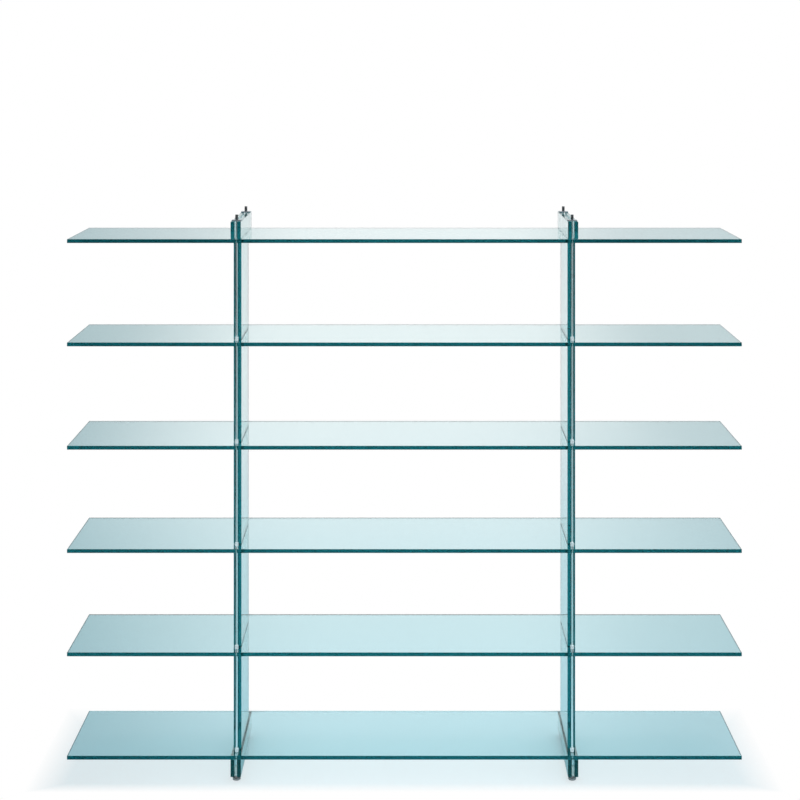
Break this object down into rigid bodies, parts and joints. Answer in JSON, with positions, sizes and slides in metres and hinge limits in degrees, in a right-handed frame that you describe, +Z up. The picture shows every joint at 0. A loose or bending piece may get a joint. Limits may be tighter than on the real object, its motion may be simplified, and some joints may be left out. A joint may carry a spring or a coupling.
{
  "type": "glass bookcase",
  "caption": "Freestanding glass bookcase: long glass shelves between stacked pairs of glass panes, clamped by slim upright steel tie rods, on levelling glides.",
  "frame": {"origin": "on the floor, in the middle of the bookcase's length and depth", "axes": "+X along the shelves to the right, +Y to the rear, +Z up"},
  "size_m": [2.1, 0.35, 1.7673],
  "materials": {
    "shelf_glass": "clear float glass, green at the polished edges",
    "pane_glass": "clear float glass, green at the polished edges",
    "rod_steel": "bright drawn",
    "plate_steel": "satin",
    "cap_nut_steel": "turned",
    "bracket_steel": "satin",
    "glide_steel": "turned"
  },
  "bodies": {
    "case": {"shelf_1": "shelf_glass", "shelf_2": "shelf_glass", "shelf_3": "shelf_glass", "shelf_4": "shelf_glass", "shelf_5": "shelf_glass", "shelf_6": "shelf_glass", "foot_pane_left_outer": "pane_glass", "foot_pane_left_inner": "pane_glass", "foot_pane_right_outer": "pane_glass", "foot_pane_right_inner": "pane_glass", "cap_pane_left_outer": "pane_glass", "cap_pane_left_inner": "pane_glass", "cap_pane_right_outer": "pane_glass", "cap_pane_right_inner": "pane_glass", "bay_1_pane_left_outer": "pane_glass", "bay_1_pane_left_inner": "pane_glass", "bay_1_pane_right_outer": "pane_glass", "bay_1_pane_right_inner": "pane_glass", "bay_2_pane_left_outer": "pane_glass", "bay_2_pane_left_inner": "pane_glass", "bay_2_pane_right_outer": "pane_glass", "bay_2_pane_right_inner": "pane_glass", "bay_3_pane_left_outer": "pane_glass", "bay_3_pane_left_inner": "pane_glass", "bay_3_pane_right_outer": "pane_glass", "bay_3_pane_right_inner": "pane_glass", "bay_4_pane_left_outer": "pane_glass", "bay_4_pane_left_inner": "pane_glass", "bay_4_pane_right_outer": "pane_glass", "bay_4_pane_right_inner": "pane_glass", "bay_5_pane_left_outer": "pane_glass", "bay_5_pane_left_inner": "pane_glass", "bay_5_pane_right_outer": "pane_glass", "bay_5_pane_right_inner": "pane_glass", "tie_rod_left_front": "rod_steel", "tie_rod_left_rear": "rod_steel", "tie_rod_right_front": "rod_steel", "tie_rod_right_rear": "rod_steel", "top_plate_left_front": "plate_steel", "top_plate_left_rear": "plate_steel", "top_plate_right_front": "plate_steel", "top_plate_right_rear": "plate_steel", "cap_nut_left_front": "cap_nut_steel", "cap_nut_left_rear": "cap_nut_steel", "cap_nut_right_front": "cap_nut_steel", "cap_nut_right_rear": "cap_nut_steel", "foot_bracket_left_front": "bracket_steel", "foot_bracket_left_rear": "bracket_steel", "foot_bracket_right_front": "bracket_steel", "foot_bracket_right_rear": "bracket_steel"},
    "glide_left_front": {"levelling_glide_left_front": "glide_steel"},
    "glide_left_rear": {"levelling_glide_left_rear": "glide_steel"},
    "glide_right_front": {"levelling_glide_right_front": "glide_steel"},
    "glide_right_rear": {"levelling_glide_right_rear": "glide_steel"}
  },
  "joints": [
    {"name": "level_left_front", "type": "slide", "parent": "case", "child": "glide_left_front", "axis": [0, 0, -1], "range_m": [0, 0.008]},
    {"name": "level_left_rear", "type": "slide", "parent": "case", "child": "glide_left_rear", "axis": [0, 0, -1], "range_m": [0, 0.008]},
    {"name": "level_right_front", "type": "slide", "parent": "case", "child": "glide_right_front", "axis": [0, 0, -1], "range_m": [0, 0.008]},
    {"name": "level_right_rear", "type": "slide", "parent": "case", "child": "glide_right_rear", "axis": [0, 0, -1], "range_m": [0, 0.008]}
  ]
}
